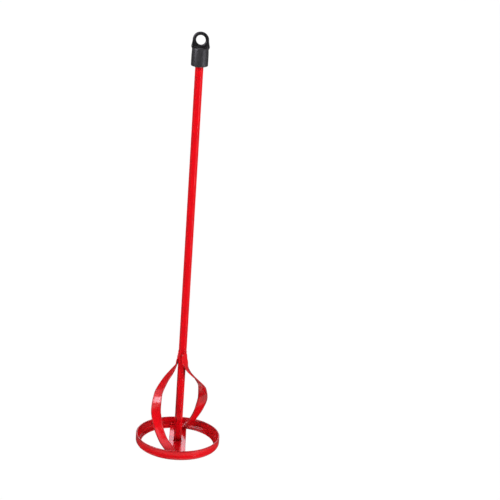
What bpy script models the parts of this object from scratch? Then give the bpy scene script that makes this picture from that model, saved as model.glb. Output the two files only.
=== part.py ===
"""Drill paint mixer: a hexagonal steel shaft with two twisted blades, a cross bar, a mixing ring
and a plastic hanging cap that pulls off the shank. Metres, +Z up along the shaft; the ring's lip rests on Z = 0."""

import math

import bmesh
import bpy
from mathutils import Matrix, Vector

# Driving dimensions, in metres.
GAP = 0.0003                # clearance that touching pieces keep

HEX_FLATS = 0.0083          # 8 mm hexagonal bar with its coat of paint
SHAFT_TOP = 0.4800
SHANK_FROM = 0.3800         # the length that a chuck may grip
SHANK_TO = 0.4550
SHANK_EASE = 0.00002        # the chuck's jaws leave its flats this much lower
SHANK_BLEND = 0.0005        # length of the slope at each end of it
SHAFT_CHAMFER = 0.0010

RING_RADIUS = 0.0500        # outside, at the top edge
RING_HEIGHT = 0.0130
RING_WALL = 0.0018
LIP_RADIUS = 0.0050         # outside of the lower edge, which turns in through a quarter circle
LIP_FLAT = 0.0007           # flat land at the end of the lip

BAR_WIDTH = 0.0200
BAR_THICKNESS = 0.0015
BAR_BOTTOM = 0.0023         # the bar lies on the ring's lip
BAR_HALF_LENGTH = 0.0453
BAR_TOP = BAR_BOTTOM + BAR_THICKNESS

STRIP_WIDTH = 0.0115
STRIP_THICKNESS = 0.0016
TAB_CORNER = 0.0035         # rounded corners of a blade's upper end
TAB_FACET = math.radians(-30.0)   # the facet that the blade's upper end lies on
TAB_OFFSET = 0.0030         # how far the upper end is set round the facet
TAB_TOP = 0.1195
TAB_BOTTOM = 0.1110
FOOT_HEIGHT = BAR_TOP + GAP + 0.0005

# Where a blade goes below its tab: height, X and Y in mm, and the strip's width direction in degrees.
BLADE_STATIONS = [
    (105.5, 4.6, -4.5, -109.7),
    (100.0, 6.3, -3.9, -97.1),
    (92.0, 11.4, -1.4, -78.1),
    (82.0, 19.0, 4.8, -61.7),
    (68.0, 25.9, 14.5, -39.0),
    (53.0, 27.3, 21.4, -9.5),
    (37.0, 24.4, 27.0, 22.0),
    (20.0, 17.6, 31.5, 38.0),
]
BLADE_FOOT = (5.1, 34.3, 42.7)    # X, Y in mm and direction in degrees, on the cross bar
BLADE_SECTIONS = 64

CAP_BOTTOM = 0.4633
CAP_SHOULDER = 0.4843       # top of the socket
CAP_TOP = 0.5020
CAP_RADIUS = 0.00965
CAP_BORE = 0.0050
CAP_BORE_TOP = 0.4806
LOOP_THICKNESS = 0.0036
LOOP_RADIUS = 0.0093
HOLE_RADIUS = 0.0055
EAR_HALF_WIDTH = 0.0105
LOOP_TURN = math.radians(10.0)

BEAD = 0.0010               # radius of the larger weld beads
SMALL_BEAD = 0.0008

RED = (0.62, 0.010, 0.018, 1.0)
WELD_RED = (0.50, 0.008, 0.014, 1.0)
BLACK = (0.022, 0.021, 0.024, 1.0)


def clear_scene():
    for old in list(bpy.data.objects):
        bpy.data.objects.remove(old, do_unlink=True)


def new_collection(name):
    collection = bpy.data.collections.new(name)
    bpy.context.scene.collection.children.link(collection)
    return collection


def new_material(name, colour, roughness, metallic):
    material = bpy.data.materials.new(name)
    material.use_nodes = True
    shader = material.node_tree.nodes["Principled BSDF"]
    shader.inputs["Base Color"].default_value = colour
    shader.inputs["Roughness"].default_value = roughness
    shader.inputs["Metallic"].default_value = metallic
    material.diffuse_color = colour
    return material


def add_object(name, data, material, collection):
    data.materials.append(material)
    piece = bpy.data.objects.new(name, data)
    collection.objects.link(piece)
    return piece


def mesh_from(build, name):
    """A mesh made by a function that fills a bmesh."""
    bm = bmesh.new()
    build(bm)
    mesh = bpy.data.meshes.new(name)
    bm.to_mesh(mesh)
    bm.free()
    return mesh


def shade_round(mesh, angle=35.0):
    mesh.shade_smooth()
    mesh.set_sharp_from_angle(angle=math.radians(angle))


def add_screw(piece, steps):
    """Turns a profile round the Z axis."""
    screw = piece.modifiers.new("Turn", "SCREW")
    screw.steps = steps
    screw.render_steps = steps
    screw.use_merge_vertices = True
    screw.merge_threshold = 0.00001
    screw.use_smooth_shade = True
    return screw


def profile_mesh(name, points, closed):
    """A chain of edges in the XZ plane, for a Screw modifier."""
    mesh = bpy.data.meshes.new(name)
    count = len(points)
    links = count if closed else count - 1
    edges = [(i, (i + 1) % count) for i in range(links)]
    mesh.from_pydata([(x, 0.0, z) for x, z in points], edges, [])
    return mesh


def arc(centre, radius, start, end, steps):
    """Points of an arc in a plane, from angle start to angle end in degrees, both ends included."""
    angles = [math.radians(start + (end - start) * i / steps) for i in range(steps + 1)]
    return [(centre[0] + radius * math.cos(a), centre[1] + radius * math.sin(a)) for a in angles]


def make_shaft(material, collection):
    """A hexagonal rod with flats to the front and back, standing just clear of the cross bar."""
    bottom = BAR_TOP + GAP
    length = SHAFT_TOP - bottom
    corner_radius = HEX_FLATS / math.sqrt(3.0)

    def build(bm):
        centre = Matrix.Translation((0.0, 0.0, bottom + length / 2.0))
        turn = Matrix.Rotation(math.radians(30.0), 4, "Z")
        bmesh.ops.create_cone(
            bm, cap_ends=True, segments=6, radius1=corner_radius, radius2=corner_radius,
            depth=length, matrix=centre @ turn,
        )
        lower, upper = SHANK_FROM + SHANK_BLEND, SHANK_TO - SHANK_BLEND
        for height in (SHANK_FROM, lower, upper, SHANK_TO):
            every = bm.verts[:] + bm.edges[:] + bm.faces[:]
            bmesh.ops.bisect_plane(bm, geom=every, plane_co=(0.0, 0.0, height), plane_no=(0.0, 0.0, 1.0))
        eased = [v for v in bm.verts if lower - SHANK_BLEND / 2.0 < v.co.z < upper + SHANK_BLEND / 2.0]
        shrink = 1.0 - 2.0 * SHANK_EASE / HEX_FLATS
        bmesh.ops.scale(bm, verts=eased, vec=(shrink, shrink, 1.0))

    shaft = add_object("hex_shaft", mesh_from(build, "hex_shaft"), material, collection)
    bevel = shaft.modifiers.new("Chamfered end", "BEVEL")
    bevel.width = SHAFT_CHAMFER
    bevel.segments = 1
    bevel.limit_method = "ANGLE"
    bevel.angle_limit = math.radians(75.0)
    return shaft


def make_ring(material, collection):
    """A rolled band whose lower edge turns in to a flat lip."""
    centre = (RING_RADIUS - LIP_RADIUS, LIP_RADIUS)
    outer = [(RING_RADIUS, RING_HEIGHT)] + arc(centre, LIP_RADIUS, 0.0, -90.0, 8)
    inner = arc(centre, LIP_RADIUS - RING_WALL, -90.0, 0.0, 6) + [(RING_RADIUS - RING_WALL, RING_HEIGHT)]
    lip_end = RING_RADIUS - LIP_RADIUS - LIP_FLAT
    lip = [(lip_end, 0.0), (lip_end, RING_WALL)]
    ring = add_object("mixing_ring", profile_mesh("mixing_ring", outer + lip + inner, True), material, collection)
    add_screw(ring, 72)
    return ring


def make_bar(material, collection):
    """A flat strip across the ring, front to back, its ends cut to the ring's curve."""
    spread = math.degrees(math.asin(BAR_WIDTH / 2.0 / BAR_HALF_LENGTH))
    outline = arc((0.0, 0.0), BAR_HALF_LENGTH, 90.0 - spread, 90.0 + spread, 8)
    outline += arc((0.0, 0.0), BAR_HALF_LENGTH, 270.0 - spread, 270.0 + spread, 8)
    curve = flat_curve("cross_bar", [outline], BAR_THICKNESS / 2.0)
    bar = add_object("cross_bar", curve, material, collection)
    bar.location = (0.0, 0.0, BAR_BOTTOM + BAR_THICKNESS / 2.0)
    return bar


def flat_curve(name, outlines, half_thickness):
    """A filled flat outline; outlines after the first are holes."""
    curve = bpy.data.curves.new(name, "CURVE")
    curve.dimensions = "2D"
    curve.fill_mode = "BOTH"
    curve.extrude = half_thickness
    for outline in outlines:
        spline = curve.splines.new("POLY")
        spline.points.add(len(outline) - 1)
        for point, (x, y) in zip(spline.points, outline):
            point.co = (x, y, 0.0, 1.0)
        spline.use_cyclic_u = True
    return curve


def tab_place():
    """Centre of a blade's upper end, and the direction across its facet."""
    outward = Vector((math.cos(TAB_FACET), math.sin(TAB_FACET)))
    across = Vector((outward.y, -outward.x))
    stand_off = HEX_FLATS / 2.0 + GAP + STRIP_THICKNESS / 2.0
    return outward * stand_off + across * TAB_OFFSET, outward, across


def blade_stations():
    """Rows of height, X, Y and width direction, top to bottom, in metres and radians."""
    place, _, across = tab_place()
    angle = math.atan2(across.y, across.x)
    rows = [(TAB_TOP, place.x, place.y, angle), (TAB_BOTTOM, place.x, place.y, angle)]
    rows += [(z / 1000.0, x / 1000.0, y / 1000.0, math.radians(a)) for z, x, y, a in BLADE_STATIONS]
    x, y, angle = BLADE_FOOT
    rows.append((FOOT_HEIGHT, x / 1000.0, y / 1000.0, math.radians(angle)))
    return rows


def slopes(rows, column):
    """A slope at each station that keeps the curve between stations free of overshoot."""
    steps = [(b[column] - a[column]) / (b[0] - a[0]) for a, b in zip(rows, rows[1:])]
    inner = [0.0 if s * t <= 0.0 else 2.0 * s * t / (s + t) for s, t in zip(steps, steps[1:])]
    return [steps[0]] + inner + [steps[-1]]


def blade_at(height, rows, tangents):
    """X, Y and width direction of a blade at a height, by cubic interpolation between its stations."""
    index = 0
    while index < len(rows) - 2 and height < rows[index + 1][0]:
        index += 1
    above, below = rows[index], rows[index + 1]
    span = below[0] - above[0]
    t = (height - above[0]) / span
    values = []
    for column in (1, 2, 3):
        m0 = tangents[column][index] * span
        m1 = tangents[column][index + 1] * span
        values.append(
            (2 * t**3 - 3 * t**2 + 1) * above[column] + (t**3 - 2 * t**2 + t) * m0
            + (3 * t**2 - 2 * t**3) * below[column] + (t**3 - t**2) * m1
        )
    return values


def blade_heights():
    """Section heights: close together at the rounded upper corners, then even."""
    corner = [TAB_TOP - TAB_CORNER * (1.0 - math.cos(math.radians(15.0 * i))) for i in range(6)]
    first = TAB_TOP - TAB_CORNER
    rest = [first + (FOOT_HEIGHT - first) * i / BLADE_SECTIONS for i in range(BLADE_SECTIONS + 1)]
    return corner + rest


def strip_half_width(height):
    """Half the strip's width, narrowing round the corners of its upper end."""
    into = TAB_CORNER - (TAB_TOP - height)
    if into <= 0.0:
        return STRIP_WIDTH / 2.0
    return STRIP_WIDTH / 2.0 - TAB_CORNER + math.sqrt(TAB_CORNER**2 - into**2)


def make_blade(name, turn, material, collection):
    """A flat strip from the shaft's facet out round a bow and down on to the cross bar."""
    rows = blade_stations()
    tangents = {column: slopes(rows, column) for column in (1, 2, 3)}
    heights = blade_heights()

    def build(bm):
        bmesh.ops.create_grid(bm, x_segments=1, y_segments=len(heights) - 1, size=1.0)
        bm.verts.ensure_lookup_table()
        order = sorted(bm.verts, key=lambda v: (-round(v.co.y, 5), v.co.x))
        step = 0.0001
        for row, height in enumerate(heights):
            x, y, angle = blade_at(height, rows, tangents)
            across = Vector((math.cos(angle), math.sin(angle), 0.0))
            near = min(max(height, FOOT_HEIGHT + step), TAB_TOP - step)
            x0, y0, _ = blade_at(near + step, rows, tangents)
            x1, y1, _ = blade_at(near - step, rows, tangents)
            along = Vector((x1 - x0, y1 - y0, -2.0 * step)).normalized()
            reach = strip_half_width(height) / math.sqrt(1.0 - across.dot(along) ** 2)
            centre = Vector((x, y, height))
            order[2 * row].co = centre - across * reach
            order[2 * row + 1].co = centre + across * reach

    mesh = mesh_from(build, name)
    shade_round(mesh)
    blade = add_object(name, mesh, material, collection)
    blade.rotation_euler = (0.0, 0.0, turn)
    solidify = blade.modifiers.new("Thickness", "SOLIDIFY")
    solidify.thickness = STRIP_THICKNESS
    solidify.offset = 0.0
    solidify.use_even_offset = True
    return blade


def loop_outline():
    """The hanging loop seen from the front: an arch on two rounded ears. Y is height above the shoulder."""
    centre_height = CAP_TOP - LOOP_RADIUS - CAP_SHOULDER
    ear_radius = 0.0014
    ear_height = -0.0009
    top = arc((0.0, centre_height), LOOP_RADIUS, 8.0, 172.0, 20)
    ear_centre = EAR_HALF_WIDTH - ear_radius
    left = arc((-ear_centre, ear_height + ear_radius), ear_radius, 165.0, 270.0, 6)
    right = arc((ear_centre, ear_height + ear_radius), ear_radius, -90.0, 15.0, 6)
    foot = 0.0080
    bottom = [(-foot, -0.0010), (foot, -0.0010)]
    return top + left + bottom + right


def mesh_of_curve(piece):
    """Replaces a curve object by a mesh object with its caps welded on."""
    graph = bpy.context.evaluated_depsgraph_get()
    mesh = bpy.data.meshes.new_from_object(piece.evaluated_get(graph), depsgraph=graph)
    bm = bmesh.new()
    bm.from_mesh(mesh)
    bmesh.ops.remove_doubles(bm, verts=bm.verts, dist=0.000005)
    bm.to_mesh(mesh)
    bm.free()
    solid = bpy.data.objects.new(piece.name + "_solid", mesh)
    solid.matrix_world = piece.matrix_world.copy()
    bpy.data.objects.remove(piece, do_unlink=True)
    return solid


def make_cap(material, collection, cutters):
    """A socket over the shank's end, with a flat loop on top to hang the mixer by."""
    edge = 0.0014
    outer = arc((CAP_RADIUS - edge, CAP_SHOULDER - edge), edge, 90.0, 0.0, 4)
    outer += arc((CAP_RADIUS - edge, CAP_BOTTOM + edge), edge, 0.0, -90.0, 5)
    mouth = [(CAP_BORE + 0.0005, CAP_BOTTOM), (CAP_BORE, CAP_BOTTOM + 0.0005)]
    profile = [(0.0, CAP_SHOULDER)] + outer + mouth + [(CAP_BORE, CAP_BORE_TOP), (0.0, CAP_BORE_TOP)]
    cap = add_object("hanging_cap", profile_mesh("hanging_cap", profile, False), material, collection)
    add_screw(cap, 40)

    hole = arc((0.0, CAP_TOP - LOOP_RADIUS - CAP_SHOULDER), HOLE_RADIUS, 0.0, 345.0, 23)
    loop_curve = flat_curve("loop", [loop_outline(), hole], LOOP_THICKNESS / 2.0)
    loop = bpy.data.objects.new("loop", loop_curve)
    cutters.objects.link(loop)
    stand = Matrix.Rotation(math.radians(90.0), 4, "X")
    loop.matrix_world = Matrix.Translation((0.0, 0.0, CAP_SHOULDER)) @ Matrix.Rotation(-LOOP_TURN, 4, "Z") @ stand
    bpy.context.view_layer.update()
    solid = mesh_of_curve(loop)
    cutters.objects.link(solid)
    solid.hide_render = True
    solid.display_type = "WIRE"

    join = cap.modifiers.new("Loop", "BOOLEAN")
    join.operation = "UNION"
    join.solver = "EXACT"
    join.object = solid
    return cap


def make_bead(name, points, radius, material, collection):
    """A run of weld metal: a short round bar with rounded ends, along a line of points."""
    curve = bpy.data.curves.new(name, "CURVE")
    curve.dimensions = "3D"
    curve.bevel_depth = radius
    curve.bevel_resolution = 3
    curve.use_fill_caps = True
    spline = curve.splines.new("POLY")
    spline.points.add(len(points) - 1)
    total = sum((b - a).length for a, b in zip(points, points[1:]))
    travelled = 0.0
    for i, point in enumerate(points):
        if i:
            travelled += (point - points[i - 1]).length
        from_end = min(travelled, total - travelled)
        reach = min(from_end / radius, 1.0)
        spline.points[i].co = (*point, 1.0)
        spline.points[i].radius = max(0.35, math.sqrt(1.0 - (1.0 - reach) ** 2))
    return add_object(name, curve, material, collection)


def bead_line(start, end, radius):
    """Points along a straight bead, closer together at its rounded ends."""
    length = (end - start).length
    ends = [0.0, 0.3 * radius, radius]
    places = ends + [length / 2.0] + [length - d for d in reversed(ends)]
    direction = (end - start).normalized()
    return [start + direction * d for d in places]


def turned(point, turn):
    return Matrix.Rotation(turn, 3, "Z") @ point


def make_blade_welds(side, turn, material, collection):
    """The two beads that hold one blade: across its upper end, and along its foot."""
    place, outward, across = tab_place()
    facet_centre = outward * (HEX_FLATS / 2.0 + GAP + BEAD)
    half = HEX_FLATS / math.sqrt(3.0) / 2.0
    height = TAB_TOP + GAP + BEAD
    start = turned(Vector((*(facet_centre - across * half), height)), turn)
    end = turned(Vector((*(facet_centre + across * half), height)), turn)
    make_bead("blade_top_weld_" + side, bead_line(start, end, BEAD), BEAD, material, collection)

    x, y, angle = BLADE_FOOT
    along = Vector((math.cos(math.radians(angle)), math.sin(math.radians(angle))))
    away = Vector((-along.y, along.x))
    centre = Vector((x, y)) / 1000.0 + away * (STRIP_THICKNESS / 2.0 + 2.0 * GAP + BEAD)
    reach = STRIP_WIDTH * 0.42
    height = BAR_TOP + GAP + BEAD
    start = turned(Vector((*(centre - along * reach), height)), turn)
    end = turned(Vector((*(centre + along * reach), height)), turn)
    make_bead("blade_foot_weld_" + side, bead_line(start, end, BEAD), BEAD, material, collection)


def make_bar_weld(side, facing, material, collection):
    """A bead in the corner between the bar's end and the ring's wall."""
    radius = RING_RADIUS - LIP_RADIUS + 0.0019
    spread = math.degrees(math.asin(BAR_WIDTH / 2.0 / radius))
    flat = arc((0.0, 0.0), radius, facing - spread, facing + spread, 12)
    points = [Vector((x, y, LIP_RADIUS)) for x, y in flat]
    make_bead("bar_end_weld_" + side, points, BEAD, material, collection)


def make_shaft_weld(material, collection):
    """A bead all the way round the shaft's foot."""
    corner_radius = HEX_FLATS / math.sqrt(3.0)
    bpy.ops.mesh.primitive_torus_add(
        location=(0.0, 0.0, BAR_TOP + GAP + BEAD), major_radius=corner_radius + GAP + BEAD,
        minor_radius=BEAD, major_segments=30, minor_segments=10,
    )
    bead = bpy.context.active_object
    bead.name = "shaft_foot_weld"
    bead.data.materials.append(material)
    shade_round(bead.data)
    for holder in list(bead.users_collection):
        holder.objects.unlink(bead)
    collection.objects.link(bead)


def make_seam_weld(material, collection):
    """The upright bead that closes the rolled band, inside the ring."""
    radius = RING_RADIUS - RING_WALL - GAP - SMALL_BEAD
    facing = math.radians(-52.0)
    foot = Vector((radius * math.cos(facing), radius * math.sin(facing), LIP_RADIUS + SMALL_BEAD))
    head = Vector((foot.x, foot.y, RING_HEIGHT - SMALL_BEAD))
    make_bead("ring_seam_weld", bead_line(foot, head, SMALL_BEAD), SMALL_BEAD, material, collection)


def main():
    clear_scene()
    mixer = new_collection("drill_paint_mixer")
    cutters = new_collection("cutters")
    paint = new_material("red_enamel", RED, 0.25, 0.0)
    weld = new_material("painted_weld", WELD_RED, 0.38, 0.0)
    plastic = new_material("black_plastic", BLACK, 0.45, 0.0)

    make_shaft(paint, mixer)
    make_ring(paint, mixer)
    make_bar(paint, mixer)
    for side, turn, facing in (("back", 0.0, 90.0), ("front", math.pi, 270.0)):
        make_blade("blade_" + side, turn, paint, mixer)
        make_blade_welds(side, turn, weld, mixer)
        make_bar_weld(side, facing, weld, mixer)
    make_shaft_weld(weld, mixer)
    make_seam_weld(weld, mixer)
    make_cap(plastic, mixer, cutters)
    bpy.context.view_layer.update()


main()
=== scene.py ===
import math

import bmesh
import bpy
from mathutils import Matrix, Vector, noise


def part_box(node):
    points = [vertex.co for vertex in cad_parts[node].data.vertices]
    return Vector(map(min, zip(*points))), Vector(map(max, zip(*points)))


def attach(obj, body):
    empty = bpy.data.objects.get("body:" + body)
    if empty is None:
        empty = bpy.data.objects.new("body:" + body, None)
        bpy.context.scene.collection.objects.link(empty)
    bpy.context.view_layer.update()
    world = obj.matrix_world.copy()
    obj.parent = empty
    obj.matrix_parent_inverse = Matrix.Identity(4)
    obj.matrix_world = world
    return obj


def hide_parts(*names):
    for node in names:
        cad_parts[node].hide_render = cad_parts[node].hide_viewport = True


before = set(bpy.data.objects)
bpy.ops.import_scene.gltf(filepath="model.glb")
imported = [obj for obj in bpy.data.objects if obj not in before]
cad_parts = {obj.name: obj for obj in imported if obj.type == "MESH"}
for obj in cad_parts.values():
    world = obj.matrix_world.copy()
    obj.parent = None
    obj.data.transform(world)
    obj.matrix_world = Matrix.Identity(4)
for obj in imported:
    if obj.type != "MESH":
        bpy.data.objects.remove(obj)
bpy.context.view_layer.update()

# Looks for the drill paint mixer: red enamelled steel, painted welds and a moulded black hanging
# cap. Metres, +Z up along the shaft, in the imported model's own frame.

MM = 0.001
WHITE = (1.0, 1.0, 1.0, 1.0)

RING_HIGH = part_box("mixing_ring")[1]
BAR_LOW, BAR_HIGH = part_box("cross_bar")
SHAFT_LOW, SHAFT_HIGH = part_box("hex_shaft")
CAP_LOW, CAP_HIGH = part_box("hanging_cap")
BLADE_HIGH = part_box("blade_front")[1]

SHAFT_FLATS = SHAFT_HIGH.y - SHAFT_LOW.y
# The shaft and the blades' feet reach this far into the bar, so that no gap shows under them.
TUCK = 0.0002


def add_object(name, data):
    made = bpy.data.objects.new(name, data)
    bpy.context.scene.collection.objects.link(made)
    return made


# ---------------------------------------------------------------- materials

RED = (0.80, 0.0032, 0.0088, 1.0)
DEEP_RED = (0.74, 0.0026, 0.0078, 1.0)
# Painted shade: the colour that edges and the ring's lower lip darken towards.
EDGE_SHADE_RED = (0.34, 0.0024, 0.0060, 1.0)
# Painted shade: the colour that shut-in corners darken towards.
CORNER_SHADE_RED = (0.20, 0.0010, 0.0020, 1.0)
BARREL_BLACK = (0.026, 0.025, 0.028, 1.0)
LOOP_BLACK = (0.010, 0.0098, 0.011, 1.0)

# Scales are in features per metre, and depths in metres.
PATCH_SCALE, MOTTLE_SCALE = 70.0, 180.0
WAVE_SCALE, WAVE_DEPTH = 85.0, 0.00016
PEEL_SCALE, PEEL_DEPTH = 520.0, 0.00003
# How far the rim marks darken the paint as painted edge shade, and how much duller they make it.
EDGE_DARKER, EDGE_DULLER = 0.65, 0.22
# How far ambient occlusion looks, how much painted shade it gives shut-in corners, and its
# samples.
CORNER_REACH, CORNER_DARKER, CORNER_SAMPLES = 0.065, 0.78, 32

FLOW_SCALE, FLOW_PALER = 160.0, 1.4
POLISH_SCALE = 900.0
GRAIN_SCALE, GRAIN_DEPTH = 2600.0, 0.00004
SINK_SCALE, SINK_DEPTH, SINK_STRENGTH = 150.0, 0.00010, 0.2


def node(tree, kind, **settings):
    made = tree.nodes.new(kind)
    for key, value in settings.items():
        setattr(made, key, value)
    return made


def set_inputs(made, **values):
    """Sets sockets by name, with _ for each space."""
    for key, value in values.items():
        made.inputs[key.replace("_", " ")].default_value = value


def noise_at(tree, coords, scale, detail=2.0):
    made = node(tree, "ShaderNodeTexNoise")
    set_inputs(made, Scale=scale, Detail=detail)
    tree.links.new(coords, made.inputs["Vector"])
    return made.outputs["Fac"]


def remap(tree, value, low, high, to_low, to_high):
    made = node(tree, "ShaderNodeMapRange")
    set_inputs(made, From_Min=low, From_Max=high, To_Min=to_low, To_Max=to_high)
    tree.links.new(value, made.inputs["Value"])
    return made.outputs["Result"]


def mix_colour(tree, factor, first, second):
    """Mixes two colours, each of which is a tuple or a socket."""
    made = node(tree, "ShaderNodeMix", data_type="RGBA")
    tree.links.new(factor, made.inputs[0])
    for socket, value in ((made.inputs[6], first), (made.inputs[7], second)):
        if isinstance(value, tuple):
            socket.default_value = value
        else:
            tree.links.new(value, socket)
    return made.outputs[2]


def bump(tree, height, distance, strength, under=None):
    made = node(tree, "ShaderNodeBump")
    set_inputs(made, Distance=distance, Strength=strength)
    tree.links.new(height, made.inputs["Height"])
    if under is not None:
        tree.links.new(under, made.inputs["Normal"])
    return made.outputs["Normal"]


def height_above(tree, coords):
    parts = node(tree, "ShaderNodeSeparateXYZ")
    tree.links.new(coords, parts.inputs[0])
    return parts.outputs["Z"]


def new_surface(name):
    material = bpy.data.materials.new(name)
    material.use_nodes = True
    tree = material.node_tree
    shader = tree.nodes["Principled BSDF"]
    coords = node(tree, "ShaderNodeTexCoord").outputs["Object"]
    return material, tree, shader, coords


def enamel(name, base, deep, rough, peel, wave):
    """Gloss enamel on steel: orange peel over long slow waves, and a slightly uneven colour with
    painted shade: darker and duller along the edges, and darker in shut-in corners."""
    material, tree, shader, coords = new_surface(name)
    patches = remap(tree, noise_at(tree, coords, PATCH_SCALE, 3.0), 0.35, 0.65, 0.0, 1.0)
    colour = mix_colour(tree, patches, base, deep)
    # The rim marks carry painted edge shade: the paint is darkened there.
    edges = node(tree, "ShaderNodeAttribute", attribute_name="rim").outputs["Fac"]
    edge_shade = remap(tree, edges, 0.0, 1.0, 0.0, EDGE_DARKER)
    colour = mix_colour(tree, edge_shade, colour, EDGE_SHADE_RED)
    # Ambient occlusion darkens shut-in corners: painted shade.
    corners = node(tree, "ShaderNodeAmbientOcclusion", samples=CORNER_SAMPLES)
    set_inputs(corners, Distance=CORNER_REACH)
    corner_shade = remap(tree, corners.outputs["AO"], 0.20, 0.88, CORNER_DARKER, 0.0)
    colour = mix_colour(tree, corner_shade, colour, CORNER_SHADE_RED)
    tree.links.new(colour, shader.inputs["Base Color"])

    mottle = noise_at(tree, coords, MOTTLE_SCALE)
    uneven = remap(tree, mottle, 0.3, 0.7, rough - 0.03, rough + 0.04)
    duller = node(tree, "ShaderNodeMath", operation="MULTIPLY_ADD")
    tree.links.new(edges, duller.inputs[0])
    duller.inputs[1].default_value = EDGE_DULLER
    tree.links.new(uneven, duller.inputs[2])
    tree.links.new(duller.outputs[0], shader.inputs["Roughness"])

    normal = bump(tree, noise_at(tree, coords, WAVE_SCALE, 1.0), WAVE_DEPTH, wave)
    normal = bump(tree, noise_at(tree, coords, PEEL_SCALE), PEEL_DEPTH, peel, normal)
    tree.links.new(normal, shader.inputs["Normal"])
    set_inputs(shader, IOR=1.5, Coat_Weight=0.35, Coat_Roughness=0.13, Coat_IOR=1.5)
    return material


def moulded(name, colour, upper_colour, upper_from, rough, grain):
    """Black moulded plastic with a fine grain, faint flow marks and shallow sink marks. Above a
    height it is blacker."""
    material, tree, shader, coords = new_surface(name)
    paler = tuple(min(1.0, c * FLOW_PALER) for c in colour[:3]) + (1.0,)
    flow = remap(tree, noise_at(tree, coords, FLOW_SCALE, 3.0), 0.35, 0.65, 0.0, 1.0)
    # Above a height the colour is only a darker tone; the roughness there is the same as below.
    upper = remap(tree, height_above(tree, coords),
                  upper_from - 0.0005, upper_from + 0.0003, 0.0, 1.0)
    shade = mix_colour(tree, flow, colour, paler)
    shade = mix_colour(tree, upper, shade, upper_colour)
    tree.links.new(shade, shader.inputs["Base Color"])

    mottle = noise_at(tree, coords, POLISH_SCALE, 3.0)
    uneven = remap(tree, mottle, 0.3, 0.7, rough - 0.05, rough + 0.06)
    tree.links.new(uneven, shader.inputs["Roughness"])

    normal = bump(tree, noise_at(tree, coords, GRAIN_SCALE), GRAIN_DEPTH, grain)
    sinks = noise_at(tree, coords, SINK_SCALE, 1.0)
    normal = bump(tree, sinks, SINK_DEPTH, SINK_STRENGTH, normal)
    tree.links.new(normal, shader.inputs["Normal"])
    set_inputs(shader, IOR=1.48)
    return material


# ---------------------------------------------------------------- mesh helpers

def turns(count):
    """Angles evenly round a circle, in radians."""
    return [2.0 * math.pi * i / count for i in range(count)]


def arc(centre, radius, start, end, steps):
    """Points of an arc in a plane, between two angles in degrees, both ends with it."""
    angles = [math.radians(start + (end - start) * i / steps) for i in range(steps + 1)]
    return [(centre[0] + radius * math.cos(a), centre[1] + radius * math.sin(a)) for a in angles]


def loft(bm, loops, wrap=False):
    """Skins closed loops of points that all have the same count. Open ends get a face."""
    rows = [[bm.verts.new(p) for p in loop] for loop in loops]
    pairs = list(zip(rows, rows[1:]))
    if wrap:
        pairs.append((rows[-1], rows[0]))
    for a, b in pairs:
        for i in range(len(a)):
            j = (i + 1) % len(a)
            bm.faces.new((a[i], a[j], b[j], b[i]))
    if not wrap:
        bm.faces.new(rows[0])
        bm.faces.new(rows[-1])


def finished_mesh(name, bm):
    mesh = bpy.data.meshes.new(name)
    bm.to_mesh(mesh)
    bm.free()
    return mesh


def mesh_from(name, build, marks=None):
    """A mesh from a builder. marks says how near an edge each point is, from 0 to 1, for one loop
    of points or for all of them. They become the rim attribute: painted edge shade on the enamel."""
    bm = bmesh.new()
    build(bm)
    bmesh.ops.recalc_face_normals(bm, faces=bm.faces)
    mesh = finished_mesh(name, bm)
    if marks:
        rim = mesh.attributes.new("rim", "FLOAT", "POINT")
        rim.data.foreach_set("value", marks * (len(mesh.vertices) // len(marks)))
    mesh.shade_smooth()
    return mesh


def solid_mesh(holder):
    """The evaluated mesh of an object, welded. The object is removed."""
    graph = bpy.context.evaluated_depsgraph_get()
    mesh = bpy.data.meshes.new_from_object(holder.evaluated_get(graph), depsgraph=graph)
    bm = bmesh.new()
    bm.from_mesh(mesh)
    bmesh.ops.remove_doubles(bm, verts=bm.verts, dist=0.000002)
    bmesh.ops.recalc_face_normals(bm, faces=bm.faces)
    bm.to_mesh(mesh)
    bm.free()
    bpy.data.objects.remove(holder, do_unlink=True)
    mesh.shade_smooth()
    return mesh


def place(name, mesh, material, body, slot, *nodes):
    """Puts a piece in the scene on its body, in place of its CAD nodes."""
    piece = add_object(name, mesh)
    piece.data.materials.clear()
    piece.data.materials.append(material)
    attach(piece, body)
    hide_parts(*nodes)
    return piece


def even_normals(piece):
    """Flat faces stay flat, and only the rounded edges shade round."""
    weighted = piece.modifiers.new("Flat faces", "WEIGHTED_NORMAL")
    weighted.weight = 90


# ---------------------------------------------------------------- shaft

SHAFT_CORNER = 0.00080
CHAMFER_LENGTH, CHAMFER_DEPTH = 0.0016, 0.0013
SHAFT_STEPS, CHAMFER_STEPS = 60, 10


def hex_points(flats, corner, flat_steps=6, corner_steps=6):
    """A hexagon with flats to the front and back and rounded corners."""
    apothem = flats / 2.0
    half = apothem / math.sqrt(3.0) - corner * math.tan(math.radians(30.0))
    points = []
    for side in range(6):
        middle = math.radians(60.0 * side + 90.0)
        outward = Vector((math.cos(middle), math.sin(middle)))
        along = Vector((-outward.y, outward.x))
        for i in range(flat_steps + 1):
            points.append(outward * apothem + along * half * (2.0 * i / flat_steps - 1.0))
        centre = outward * (apothem - corner) + along * half
        for i in range(1, corner_steps):
            angle = middle + math.radians(60.0 * i / corner_steps)
            points.append(centre + Vector((math.cos(angle), math.sin(angle))) * corner)
    return points


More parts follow.
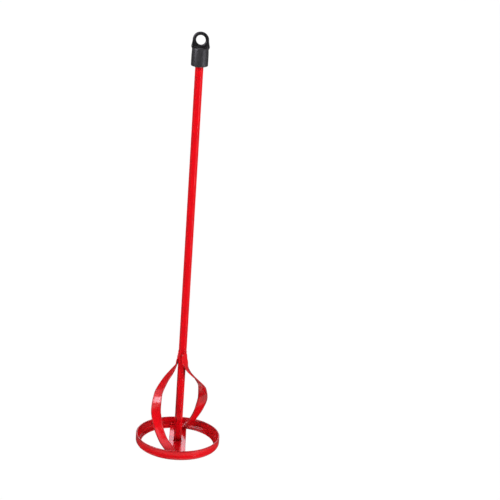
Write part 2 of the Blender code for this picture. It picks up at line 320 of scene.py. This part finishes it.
def build_shaft(bm):
    """The hexagonal bar, its upper end turned to a cone that cuts the corners off."""
    section = hex_points(SHAFT_FLATS, SHAFT_CORNER)
    widest = max(p.length for p in section)
    bottom = BAR_HIGH.z - TUCK
    top = SHAFT_HIGH.z
    straight = top - CHAMFER_LENGTH - bottom
    heights = [bottom + straight * i / SHAFT_STEPS for i in range(SHAFT_STEPS + 1)]
    heights += [top - CHAMFER_LENGTH * (1.0 - i / CHAMFER_STEPS)
                for i in range(1, CHAMFER_STEPS + 1)]
    loops = []
    for z in heights:
        into = max(0.0, z - (top - CHAMFER_LENGTH)) / CHAMFER_LENGTH
        limit = widest - CHAMFER_DEPTH * into
        loops.append([(*(p * min(1.0, limit / p.length)), z) for p in section])
    loft(bm, loops)


# ---------------------------------------------------------------- ring and bar

# The ring's visible mesh stays this far inside its CAD box, to leave room for its unevenness.
RING_EASE, RING_TOP_EASE = 0.00006, 0.00008
RING_WALL = 0.0018
LIP = 0.0050
LIP_LAND = 0.0009
RING_STEPS = 300
BAR_SOFT = 0.00045


def ring_profile():
    """A rolled band's section, as (radius, height) pairs: a straight wall, a rounded top edge, and
    a lower edge that turns in to a lip."""
    radius, height = RING_HIGH.x - RING_EASE, RING_HIGH.z - RING_TOP_EASE
    centre = (radius - LIP, LIP)
    edge = RING_WALL / 2.0 - 0.0001
    shoulder = height - edge
    outer = arc(centre, LIP, -90.0, 0.0, 14)
    outer += [(radius, LIP + (shoulder - LIP) * i / 6) for i in range(1, 6)]
    rim = arc((radius - edge, shoulder), edge, 0.0, 90.0, 5)
    rim += arc((radius - RING_WALL + edge, shoulder), edge, 90.0, 180.0, 5)
    inner = [(radius - RING_WALL, shoulder + (LIP - shoulder) * i / 6) for i in range(1, 6)]
    inner += arc(centre, LIP - RING_WALL, 0.0, -90.0, 12)
    lip_end = arc((radius - LIP - LIP_LAND, RING_WALL - edge), edge, 90.0, 180.0, 5)
    lip_end += arc((radius - LIP - LIP_LAND, edge), edge, 180.0, 270.0, 5)
    return outer + rim + inner + lip_end


def ring_edge_shade():
    """Painted edge shade: strong on the top edge, weaker just under it, and rising again towards
    the table.
    """
    marks = []
    for _, z in ring_profile():
        if z > RING_HIGH.z - 0.0011:
            marks.append(1.0)
        elif z > RING_HIGH.z - 0.0026:
            marks.append(0.35)
        else:
            marks.append(max(0.0, 0.7 - z / 0.0030))
    return marks


def build_ring(bm):
    """The band, rolled slightly out of round. The unevenness grows from the lip to the top."""
    profile = ring_profile()
    loops = []
    for angle in turns(RING_STEPS):
        out = 0.00005 * math.sin(2.0 * angle + 0.6) + 0.00003 * math.sin(5.0 * angle + 1.9)
        up = 0.00006 * math.sin(3.0 * angle + 1.0)
        loop = []
        for r, z in profile:
            lift = max(0.0, (z - LIP) / (RING_HIGH.z - LIP))
            r = r + out * lift
            loop.append((r * math.cos(angle), r * math.sin(angle), z + up * lift))
        loops.append(loop)
    loft(bm, loops, wrap=True)


def bar_mesh():
    """The cross bar: a flat strip with softened edges, its ends cut to the ring's curve."""
    half_length, half_width = BAR_HIGH.y, BAR_HIGH.x
    spread = math.degrees(math.asin(half_width / half_length))
    outline = arc((0.0, 0.0), half_length - BAR_SOFT, 90.0 - spread, 90.0 + spread, 16)
    outline += arc((0.0, 0.0), half_length - BAR_SOFT, 270.0 - spread, 270.0 + spread, 16)
    limit = half_width - BAR_SOFT
    outline = [(max(-limit, min(limit, x)), y) for x, y in outline]
    curve = bpy.data.curves.new("bar_outline", "CURVE")
    curve.dimensions = "2D"
    curve.fill_mode = "BOTH"
    curve.extrude = (BAR_HIGH.z - BAR_LOW.z) / 2.0 - BAR_SOFT
    curve.bevel_depth = BAR_SOFT
    curve.bevel_resolution = 3
    spline = curve.splines.new("POLY")
    spline.points.add(len(outline) - 1)
    for point, (x, y) in zip(spline.points, outline):
        point.co = (x, y, 0.0, 1.0)
    spline.use_cyclic_u = True
    mesh = solid_mesh(add_object("bar_outline", curve))
    mesh.transform(Matrix.Translation((0.0, 0.0, (BAR_LOW.z + BAR_HIGH.z) / 2.0)))
    return mesh


# ---------------------------------------------------------------- blades

STRIP_WIDTH = 0.0115
STRIP_THICKNESS = 0.0016
EDGE_SOFT = 0.0005
FILM = 0.00012                    # paint on each long edge
TAB_CORNER = 0.0035               # rounding of the upper end
TAB_FACET = math.radians(-30.0)   # where the shaft's facet behind the upper end faces
TAB_OFFSET = 0.0030               # the upper end's middle, from the middle of that facet
TAB_TOP = BLADE_HIGH.z
TAB_BOTTOM = 0.1110
LEAN, LEAN_LENGTH, LEAN_POWER = 0.42, 0.0100, 1.3   # the outer upper corner is cut back
FOOT = BAR_HIGH.z - TUCK
BLADE_STEPS = 170
TANGENT_STEP = 0.0001

# Height, X and Y of the strip's middle in millimetres, and the direction of its width in degrees.
BLADE_STATIONS = [
    (105.5, 4.6, -4.5, -109.7),
    (100.0, 6.3, -3.9, -97.1),
    (92.0, 11.4, -1.4, -78.1),
    (82.0, 19.0, 4.8, -61.7),
    (68.0, 25.9, 14.5, -39.0),
    (53.0, 27.3, 21.4, -9.5),
    (37.0, 24.4, 27.0, 22.0),
    (20.0, 17.6, 31.5, 38.0),
]
# The same without the height, where the strip stands on the bar.
BLADE_FOOT = (5.1, 34.3, 42.7)


def tab_place():
    """The middle of a blade's upper end, the way it faces, and the direction of its width."""
    outward = Vector((math.cos(TAB_FACET), math.sin(TAB_FACET)))
    across = Vector((outward.y, -outward.x))
    stand_off = SHAFT_FLATS / 2.0 + STRIP_THICKNESS / 2.0
    return outward * stand_off + across * TAB_OFFSET, outward, across


def blade_rows():
    """Height, X, Y and width direction down the blade, in metres and radians."""
    spot, _, across = tab_place()
    angle = math.atan2(across.y, across.x)
    rows = [(TAB_TOP, spot.x, spot.y, angle), (TAB_BOTTOM, spot.x, spot.y, angle)]
    rows += [(z * MM, x * MM, y * MM, math.radians(a)) for z, x, y, a in BLADE_STATIONS]
    x, y, angle = BLADE_FOOT
    rows.append((FOOT, x * MM, y * MM, math.radians(angle)))
    return rows


def slopes(rows, column):
    """A slope at each row that lets a smooth curve pass through them without overshooting."""
    steps = [(b[column] - a[column]) / (b[0] - a[0]) for a, b in zip(rows, rows[1:])]
    inner = [0.0 if s * t <= 0.0 else 2.0 * s * t / (s + t) for s, t in zip(steps, steps[1:])]
    return [steps[0]] + inner + [steps[-1]]


def blade_at(height, rows, tangents):
    """X, Y and width direction at a height, by cubic interpolation between rows."""
    index = 0
    while index < len(rows) - 2 and height < rows[index + 1][0]:
        index += 1
    above, below = rows[index], rows[index + 1]
    span = below[0] - above[0]
    t = (height - above[0]) / span
    values = []
    for column in (1, 2, 3):
        m0 = tangents[column][index] * span
        m1 = tangents[column][index + 1] * span
        values.append(
            (2 * t**3 - 3 * t**2 + 1) * above[column] + (t**3 - 2 * t**2 + t) * m0
            + (3 * t**2 - 2 * t**3) * below[column] + (t**3 - t**2) * m1
        )
    return values


def strip_section(half_width, half_thickness, corner, steps=12, corner_steps=4):
    """A flat bar's section with rounded edges, as (across, through) pairs."""
    u, v = half_width - corner, half_thickness - corner
    points = [(u * (2.0 * i / steps - 1.0), half_thickness) for i in range(steps + 1)]
    points += arc((u, v), corner, 90.0, 0.0, corner_steps)[1:]
    points += arc((u, -v), corner, 0.0, -90.0, corner_steps)
    points += [(u * (1.0 - 2.0 * i / steps), -half_thickness) for i in range(1, steps + 1)]
    points += arc((-u, -v), corner, -90.0, -180.0, corner_steps)[1:]
    points += arc((-u, v), corner, 180.0, 90.0, corner_steps)[:-1]
    return points


def blade_heights():
    """Close together over the rounded upper end, then even down to the foot."""
    start = TAB_TOP - TAB_CORNER
    tips = [TAB_TOP - TAB_CORNER * (1.0 - math.cos(math.radians(9.0 * i))) for i in range(10)]
    return tips + [start + (FOOT - start) * i / BLADE_STEPS for i in range(BLADE_STEPS + 1)]


def blade_edge_shade():
    """Painted edge shade: strong along both edges, fading out where the strip lies against the
    shaft.
    """
    half = STRIP_WIDTH / 2.0
    across = [max(0.0, min(1.0, 1.0 - (half - abs(u) - 0.0004) / 0.0014))
              for u, _ in strip_section(half, STRIP_THICKNESS / 2.0, EDGE_SOFT)]
    marks = []
    for height in blade_heights():
        fade = min(1.0, max(0.12, 1.0 - (height - 0.088) / 0.016))
        marks += [mark * fade for mark in across]
    return marks


def blade_builder(turn):
    """Builds a blade, turned about the shaft by an angle in radians."""
    rows = blade_rows()
    tangents = {column: slopes(rows, column) for column in (1, 2, 3)}
    swing = Matrix.Rotation(turn, 3, "Z")

    def build(bm):
        loops = []
        for height in blade_heights():
            x, y, angle = blade_at(height, rows, tangents)
            across = Vector((math.cos(angle), math.sin(angle), 0.0))
            near = min(max(height, FOOT + TANGENT_STEP), TAB_TOP - TANGENT_STEP)
            x0, y0, _ = blade_at(near + TANGENT_STEP, rows, tangents)
            x1, y1, _ = blade_at(near - TANGENT_STEP, rows, tangents)
            along = Vector((x1 - x0, y1 - y0, -2.0 * TANGENT_STEP)).normalized()
            stretch = 1.0 / math.sqrt(1.0 - across.dot(along) ** 2)
            through = across.cross(along).normalized()

            from_top = TAB_TOP - height
            half = STRIP_WIDTH / 2.0 + FILM
            into = TAB_CORNER - from_top
            if into > 0.0:
                half += math.sqrt(TAB_CORNER**2 - into**2) - TAB_CORNER
            thick = STRIP_THICKNESS / 2.0
            if from_top < EDGE_SOFT:
                thick += math.sqrt(EDGE_SOFT**2 - (EDGE_SOFT - from_top) ** 2) - EDGE_SOFT
            section = strip_section(half, thick, min(EDGE_SOFT, thick * 0.95))
            lean = 1.0 - LEAN * max(0.0, 1.0 - from_top / LEAN_LENGTH) ** LEAN_POWER
            section = [(u if u > 0.0 else u * lean, v) for u, v in section]

            centre = Vector((x, y, height))
            loops.append([swing @ (centre + across * u * stretch + through * v)
                          for u, v in section])
        loft(bm, loops)

    return build


# ---------------------------------------------------------------- welds

BEAD_SIDES = 16
RIPPLE = 0.08
LUMP_SCALE, LUMP_SIZE = 700.0, 0.16
SEAM_ANGLE = math.radians(-52.0)


def bead_builder(points, radius, pitch, seed, closed=False):
    """A run of weld metal: overlapping ripples along a line of points, with rounded ends."""
    lengths = [(b - a).length for a, b in zip(points, points[1:])]
    total = sum(lengths) + ((points[0] - points[-1]).length if closed else 0.0)
    shift = Vector((seed, 0.0, 0.0))

    def build(bm):
        loops = []
        travelled = 0.0
        count = len(points)
        for i, point in enumerate(points):
            if i:
                travelled += lengths[i - 1]
            before = points[i - 1] if i or closed else points[0]
            after = points[(i + 1) % count] if i < count - 1 or closed else points[-1]
            along = (after - before).normalized()
            side = along.cross(Vector((0.0, 0.0, 1.0)))
            if side.length <= 0.2:
                side = Vector((along.z, 0.0, -along.x))
            side = side.normalized()
            over = side.cross(along).normalized()
            size = radius
            if not closed:
                reach = min(min(travelled, total - travelled) / radius, 1.0)
                size *= max(0.05, math.sqrt(max(0.0, 1.0 - (1.0 - reach) ** 2)))
            size *= 1.0 + RIPPLE * ((travelled / pitch) % 1.0 - 0.5)
            loop = []
            for angle in turns(BEAD_SIDES):
                spot = point + (side * math.cos(angle) + over * math.sin(angle)) * size
                lump = 1.0 + noise.noise((spot + shift) * LUMP_SCALE) * LUMP_SIZE
                loop.append(point + (spot - point) * lump)
            loops.append(loop)
        loft(bm, loops, wrap=closed)

    return build


def line_points(start, end, count):
    return [start.lerp(end, i / (count - 1)) for i in range(count)]


def top_weld_points(turn):
    """Across the upper end of a blade, where it meets the shaft's facet."""
    _, outward, across = tab_place()
    half = STRIP_WIDTH * 0.24
    face = outward * (SHAFT_FLATS / 2.0 + 0.0003) + across * TAB_OFFSET * 0.25
    height = TAB_TOP - 0.0002
    swing = Matrix.Rotation(turn, 3, "Z")
    ends = [Vector((*(face + across * side * half), height)) for side in (-1.0, 1.0)]
    return [swing @ p for p in line_points(*ends, 40)]


def foot_weld_points(turn):
    """Along the outer side of a blade's foot on the cross bar."""
    x, y, angle = BLADE_FOOT
    along = Vector((math.cos(math.radians(angle)), math.sin(math.radians(angle))))
    away = Vector((-along.y, along.x))
    centre = Vector((x, y)) * MM + away * (STRIP_THICKNESS / 2.0 + 0.0003)
    height = BAR_HIGH.z + 0.0003
    swing = Matrix.Rotation(turn, 3, "Z")
    ends = [Vector((*(centre + along * side * STRIP_WIDTH * 0.46), height))
            for side in (-1.0, 1.0)]
    return [swing @ p for p in line_points(*ends, 60)]


def bar_weld_points(facing):
    """In the corner between the bar's end and the ring's wall."""
    radius = BAR_HIGH.y + 0.0013
    spread = math.degrees(math.asin(BAR_HIGH.x / radius)) - 0.5
    flat = arc((0.0, 0.0), radius, facing - spread, facing + spread, 100)
    return [Vector((x, y, BAR_HIGH.z + 0.0006)) for x, y in flat]


def shaft_weld_points():
    """Round the shaft's foot, following the hexagon loosely."""
    inner = hex_points(SHAFT_FLATS + 0.0004, 0.0016, 8, 8)
    return [Vector((p.x, p.y, BAR_HIGH.z + 0.0002)) for p in inner]


def seam_weld_points():
    """Up the inside of the ring's wall, from its lip to just under its top edge."""
    radius = RING_HIGH.x - RING_WALL
    low = Vector((radius * math.cos(SEAM_ANGLE), radius * math.sin(SEAM_ANGLE), LIP))
    return line_points(low, low + Vector((0.0, 0.0, RING_HIGH.z - LIP - 0.0008)), 50)


# ---------------------------------------------------------------- hanging cap

SHOULDER = 0.4843                 # height of the barrel's top
CAP_STEPS = 96
AXIS_GAP = 0.0003                 # the barrel's section closes this near its axis

BARREL_TOP_RADIUS, BARREL_TOP_ROUND = 0.0093, 0.0014
# Radius of the barrel, and how far below its shoulder.
BARREL_SIDE = [(0.00948, 0.0050), (0.00962, 0.0095), (0.00965, 0.0150)]
BARREL_FOOT_RADIUS, BARREL_FOOT_ROUND = 0.00962, 0.0009
SOCKET_RADIUS, SOCKET_MOUTH, SOCKET_TOP = 0.0050, 0.0007, 0.4806

LOOP_TURN = math.radians(-10.0)   # about the shaft
LOOP_HALF_THICK = 0.0018
EYE_RADIUS, HOLE_RADIUS = 0.0093, 0.0054
LOOP_CENTRE = CAP_HIGH.z - EYE_RADIUS - SHOULDER

# How far out and how high above the shoulder, and the half width there, in millimetres.
LEG_STATIONS = [
    (7.75, 7.9, 1.50),
    (8.35, 4.6, 1.42),
    (8.95, 1.6, 1.45),
    (9.05, 0.0, 1.45),
    (8.6, -2.0, 1.0),
]
EAR_OUT, EAR_UP, EAR_SIZE = 9.1 * MM, 0.55 * MM, 1.5 * MM
WEB_HALF_THICK = 0.00105
WEB_EDGE = [(9.0, -2.0), (9.0, 0.6), (7.7, 7.6)]
WEB_ROUND = 7.4

CAP_VOXEL = 0.00025


def ellipse_loop(centre, u, v, ru, rv, count=20):
    return [centre + u * (ru * math.cos(a)) + v * (rv * math.sin(a)) for a in turns(count)]


def barrel_profile():
    """The barrel's section with its socket, as (radius, height) pairs."""
    top, bottom = SHOULDER, CAP_LOW.z
    profile = [(AXIS_GAP, top + 0.0001)]
    profile += arc((BARREL_TOP_RADIUS - BARREL_TOP_ROUND, top - BARREL_TOP_ROUND),
                   BARREL_TOP_ROUND, 90.0, 5.0, 8)
    profile += [(radius, top - drop) for radius, drop in BARREL_SIDE]
    profile += arc((BARREL_FOOT_RADIUS - BARREL_FOOT_ROUND, bottom + BARREL_FOOT_ROUND),
                   BARREL_FOOT_ROUND, 0.0, -90.0, 6)
    profile += arc((SOCKET_RADIUS + SOCKET_MOUTH, bottom + SOCKET_MOUTH),
                   SOCKET_MOUTH, -90.0, -180.0, 4)
    profile += [(SOCKET_RADIUS, SOCKET_TOP - 0.004), (SOCKET_RADIUS, SOCKET_TOP)]
    profile += [(AXIS_GAP, SOCKET_TOP)]
    return profile


def cap_parts(bm):
    """The barrel, the eye, its two legs and ears, and the web between them, as overlapping
    solids."""
    plate = Matrix.Translation((0.0, 0.0, SHOULDER)) @ Matrix.Rotation(LOOP_TURN, 4, "Z")
    through = (plate.to_3x3() @ Vector((0.0, 1.0, 0.0))).normalized()

    def at(x, h):
        return plate @ Vector((x, 0.0, h))

    sideways = (at(1.0, 0.0) - at(0.0, 0.0)).normalized()

    profile = barrel_profile()
    loft(bm, [[(r * math.cos(a), r * math.sin(a), z) for r, z in profile]
              for a in turns(CAP_STEPS)], wrap=True)

    tube = (EYE_RADIUS - HOLE_RADIUS) / 2.0
    major = HOLE_RADIUS + tube
    eye = []
    for a in turns(CAP_STEPS):
        outward = (at(math.cos(a), math.sin(a)) - at(0.0, 0.0)).normalized()
        centre = at(major * math.cos(a), LOOP_CENTRE + major * math.sin(a))
        eye.append(ellipse_loop(centre, outward, through, tube, LOOP_HALF_THICK))
    loft(bm, eye, wrap=True)

    for side in (-1.0, 1.0):
        loft(bm, [ellipse_loop(at(side * x * MM, h * MM), sideways, through,
                               r * MM, LOOP_HALF_THICK * 0.94)
                  for x, h, r in LEG_STATIONS])
        ear = []
        for i in range(1, 12):
            latitude = math.radians(-90.0 + 15.0 * i)
            centre = at(side * EAR_OUT, EAR_UP + EAR_SIZE * math.sin(latitude))
            ear.append(ellipse_loop(centre, sideways, through, EAR_SIZE * math.cos(latitude),
                                    LOOP_HALF_THICK * 1.05 * math.cos(latitude) ** 0.5))
        loft(bm, ear)

    web = [(-x, h) for x, h in WEB_EDGE]
    web += [(x, h + LOOP_CENTRE / MM) for x, h in arc((0.0, 0.0), WEB_ROUND, 180.0, 360.0, 40)]
    web += WEB_EDGE[::-1]
    loft(bm, [[at(x * MM, h * MM) + through * (side * WEB_HALF_THICK) for x, h in web]
              for side in (-1.0, 1.0)])


def cap_mesh():
    """The cap's solids melted into one moulding, with small fillets where they meet."""
    holder = add_object("cap_holder", mesh_from("cap_parts", cap_parts))
    remesh = holder.modifiers.new("Melt", "REMESH")
    remesh.mode = "VOXEL"
    remesh.voxel_size = CAP_VOXEL
    remesh.use_smooth_shade = True
    smooth = holder.modifiers.new("Fillets", "SMOOTH")
    smooth.factor = 0.5
    smooth.iterations = 8
    return solid_mesh(holder)


# ---------------------------------------------------------------- pieces

red = enamel("red_enamel", RED, DEEP_RED, rough=0.17, peel=0.07, wave=0.16)
red_weld = enamel("painted_weld", DEEP_RED, DEEP_RED, rough=0.24, peel=0.25, wave=0.5)
plastic = moulded("black_plastic", BARREL_BLACK, LOOP_BLACK, SHOULDER, rough=0.30, grain=0.30)


def place_steel(name, mesh, replaced):
    return place(name, mesh, red, "mixer", "red_enamel", replaced)


def place_bead(name, points, radius, pitch, seed, replaced, closed=False):
    mesh = mesh_from(name, bead_builder(points, radius, pitch, seed, closed))
    place(name, mesh, red_weld, "mixer", "painted_weld", replaced)


even_normals(place_steel("shaft", mesh_from("shaft", build_shaft), "hex_shaft"))
place_steel("ring", mesh_from("ring", build_ring, ring_edge_shade()), "mixing_ring")
even_normals(place_steel("bar", bar_mesh(), "cross_bar"))

for number, (side, turn, facing) in enumerate((("back", 0.0, 90.0), ("front", math.pi, 270.0))):
    strip = "blade_strip_" + side
    mesh = mesh_from(strip, blade_builder(turn), blade_edge_shade())
    even_normals(place_steel(strip, mesh, "blade_" + side))
    # Name, line of points, radius of the bead, pitch of its ripples, and the CAD node.
    runs = [
        ("blade_top_bead_", top_weld_points(turn), 0.00080, 0.0016, "blade_top_weld_"),
        ("blade_foot_bead_", foot_weld_points(turn), 0.00120, 0.0011, "blade_foot_weld_"),
        ("bar_end_bead_", bar_weld_points(facing), 0.00130, 0.0012, "bar_end_weld_"),
    ]
    for index, (name, points, radius, pitch, replaced) in enumerate(runs):
        seed = 0.1 * (index + 3 * number)
        place_bead(name + side, points, radius, pitch, seed, replaced + side)

place_bead("shaft_foot_bead", shaft_weld_points(), 0.00065, 0.0009, 0.7, "shaft_foot_weld",
           closed=True)
place_bead("ring_seam_bead", seam_weld_points(), 0.00090, 0.0010, 0.8, "ring_seam_weld")
place("cap", cap_mesh(), plastic, "cap", "black_plastic", "hanging_cap")


# ---------------------------------------------------------------- floor and light

FLOOR_RADIUS = 14.0
FLOOR_GREYS = ((0.010, 0.010, 0.010, 1.0), (0.014, 0.014, 0.014, 1.0))
CARD_GREY = (0.02, 0.02, 0.02, 1.0)
CARD_HEIGHT = -0.0004
CARD_STEPS = 96

# The lights that show as reflections are faintly cool. Those that only fill are white.
COOL = (1.0, 0.96, 1.10)
PLAIN = (1.0, 1.0, 1.0)

# Azimuth and elevation in degrees, distance, height of the point that it faces, width and height
# in metres, and radiance. Azimuth 0 is in front, and positive is to the right.
REFLECTED_LIGHTS = [
    ("left_softbox", -60.0, 6.8, 3.0, 0.25, 1.25, 0.66, 8.5),
    ("left_softbox_top", -59.0, 20.5, 3.0, 0.25, 1.15, 0.76, 7.0),
    ("left_halo", -82.0, 26.0, 3.0, 0.25, 1.90, 1.30, 0.6),
    ("left_high", -72.0, 52.0, 3.0, 0.25, 2.20, 1.90, 2.2),
    ("right_strip", 60.0, -7.5, 3.0, 0.25, 2.20, 0.80, 1.6),
    ("right_low_strip", 50.0, -20.0, 3.0, 0.25, 0.28, 0.80, 5.0),
    ("right_softbox", 68.0, 22.5, 3.0, 0.25, 1.40, 0.80, 1.0),
    ("backdrop", 172.0, 22.0, 3.0, 0.25, 1.70, 1.80, 2.0),
    ("top_softbox", 200.0, 60.0, 3.0, 0.25, 0.75, 1.35, 3.5),
]
FILL_LIGHTS = [
    ("left_fill", -45.0, 20.0, 1.5, 0.30, 1.20, 1.10, 5.2),
    ("right_fill", 60.0, 38.0, 1.5, 0.30, 0.75, 0.70, 7.5),
    ("right_low_fill", 74.0, -6.0, 3.0, 0.25, 2.00, 1.60, 5.8),
    ("back_fill", 180.0, 20.0, 3.0, 0.25, 1.90, 1.60, 6.2),
    ("low_fill", 10.0, -50.0, 3.0, 0.25, 1.50, 1.40, 3.0),
]


def make_floor():
    """A plain white floor for the eye alone. Its light on the object comes from the cards, the
    low lights and the world."""
    bm = bmesh.new()
    bmesh.ops.create_circle(bm, cap_ends=True, segments=64, radius=FLOOR_RADIUS)
    floor = add_object("floor", finished_mesh("floor", bm))
    material, tree, shader, coords = new_surface("floor_paper")
    shade = remap(tree, noise_at(tree, coords, 3.0), 0.3, 0.7, 0.0, 1.0)
    tree.links.new(mix_colour(tree, shade, *FLOOR_GREYS), shader.inputs["Base Color"])
    set_inputs(shader, Roughness=0.9, Specular_IOR_Level=0.0,
               Emission_Color=WHITE, Emission_Strength=1.0)
    floor.data.materials.append(material)
    floor.visible_glossy = False
    floor.visible_diffuse = False
    floor.visible_shadow = False


def make_card(name, centre, radii, low, high):
    """A ring of table, seen only as a reflection, glowing from low to high."""
    bm = bmesh.new()
    rows = [[bm.verts.new((centre[0] + r * math.cos(a), centre[1] + r * math.sin(a), CARD_HEIGHT))
             for a in turns(CARD_STEPS)] for r in radii]
    for i in range(CARD_STEPS):
        j = (i + 1) % CARD_STEPS
        bm.faces.new((rows[0][i], rows[1][i], rows[1][j], rows[0][j]))
    card = add_object(name, finished_mesh(name, bm))
    material, tree, shader, coords = new_surface(name + "_paper")
    glow = remap(tree, noise_at(tree, coords, 6.0), 0.3, 0.7, low, high)
    tree.links.new(glow, shader.inputs["Emission Strength"])
    set_inputs(shader, Emission_Color=WHITE, Base_Color=CARD_GREY, Specular_IOR_Level=0.0)
    card.data.materials.append(material)
    card.visible_camera = False
    card.visible_diffuse = False
    card.visible_shadow = False


def make_light(name, azimuth, elevation, distance, aim, width, height, radiance, reflected):
    """An area light that faces the shaft. It either shows as a reflection or fills."""
    a, e = math.radians(azimuth), math.radians(elevation)
    away = Vector((math.sin(a) * math.cos(e), -math.cos(a) * math.cos(e), math.sin(e)))
    data = bpy.data.lights.new(name, "AREA")
    data.shape = "RECTANGLE"
    data.size, data.size_y = width, height
    data.energy = radiance * width * height * math.pi
    data.color = COOL if reflected else PLAIN
    light = add_object(name, data)
    light.location = Vector((0.0, 0.0, aim)) + away * distance
    light.rotation_mode = "QUATERNION"
    light.rotation_quaternion = away.to_track_quat("Z", "Y")
    light.visible_camera = False
    light.visible_glossy = reflected
    light.visible_diffuse = not reflected


def make_world():
    """White to the eye; to the object a dim room, darker in front, and pale below."""
    world = bpy.data.worlds.new("studio")
    bpy.context.scene.world = world
    world.use_nodes = True
    tree = world.node_tree
    tree.nodes.clear()
    out = node(tree, "ShaderNodeOutputWorld")
    seen = node(tree, "ShaderNodeBackground")
    set_inputs(seen, Color=WHITE)
    room = node(tree, "ShaderNodeBackground")
    direction = node(tree, "ShaderNodeTexCoord").outputs["Generated"]
    parts = node(tree, "ShaderNodeSeparateXYZ")
    tree.links.new(direction, parts.inputs[0])
    dark_front = remap(tree, parts.outputs["Y"], -0.90, -0.30, 0.04, 0.10)
    pale_below = remap(tree, parts.outputs["Z"], -0.80, -0.60, 0.65, 0.0)
    most = node(tree, "ShaderNodeMath", operation="MAXIMUM")
    tree.links.new(dark_front, most.inputs[0])
    tree.links.new(pale_below, most.inputs[1])
    tree.links.new(most.outputs[0], room.inputs["Strength"])
    pick = node(tree, "ShaderNodeMixShader")
    tree.links.new(node(tree, "ShaderNodeLightPath").outputs["Is Camera Ray"], pick.inputs[0])
    tree.links.new(room.outputs[0], pick.inputs[1])
    tree.links.new(seen.outputs[0], pick.inputs[2])
    tree.links.new(pick.outputs[0], out.inputs["Surface"])


# ---------------------------------------------------------------- camera

CAMERA_AIM = Vector((0.0, 0.0, 0.25045))
CAMERA_DISTANCE = 2.04
CAMERA_TILT = math.radians(18.79)
CAMERA_YAW = math.radians(-2.10)
CAMERA_ROLL = math.radians(4.04)
SENSOR_WIDTH_MM, LENS_MM = 36.0, 127.2


def make_camera():
    """A long lens a little above the object, tipped a few degrees."""
    back = Vector((0.0, -math.cos(CAMERA_TILT), math.sin(CAMERA_TILT)))
    spot = CAMERA_AIM + CAMERA_DISTANCE * back
    ahead = Matrix.Rotation(CAMERA_YAW, 3, "Z") @ (CAMERA_AIM - spot).normalized()
    level = ahead.cross(Vector((0.0, 0.0, 1.0))).normalized()
    upright = level.cross(ahead).normalized()
    right = level * math.cos(CAMERA_ROLL) + upright * math.sin(CAMERA_ROLL)
    up = upright * math.cos(CAMERA_ROLL) - level * math.sin(CAMERA_ROLL)
    data = bpy.data.cameras.new("camera")
    data.sensor_width = SENSOR_WIDTH_MM
    data.lens = LENS_MM
    data.clip_start, data.clip_end = 0.05, 100.0
    camera = add_object("camera", data)
    facing = Matrix((right, up, -ahead)).transposed().to_4x4()
    camera.matrix_world = Matrix.Translation(spot) @ facing
    bpy.context.scene.camera = camera


make_floor()
make_card("table_card", (0.0, 0.0), (0.067, 0.083), 0.38, 0.50)
# Dark discs beside each blade's foot, seen only in reflections: painted shade, the table's shadow
# there.
for side, sign in (("back", 1.0), ("front", -1.0)):
    make_card("shaded_card_" + side, (0.014 * sign, 0.036 * sign), (0.001, 0.014), 0.03, 0.05)
make_world()
for row in REFLECTED_LIGHTS:
    make_light(*row, reflected=True)
for row in FILL_LIGHTS:
    make_light(*row, reflected=False)
make_camera()
bpy.context.scene.view_settings.view_transform = "Standard"
bpy.context.scene.view_settings.look = "None"
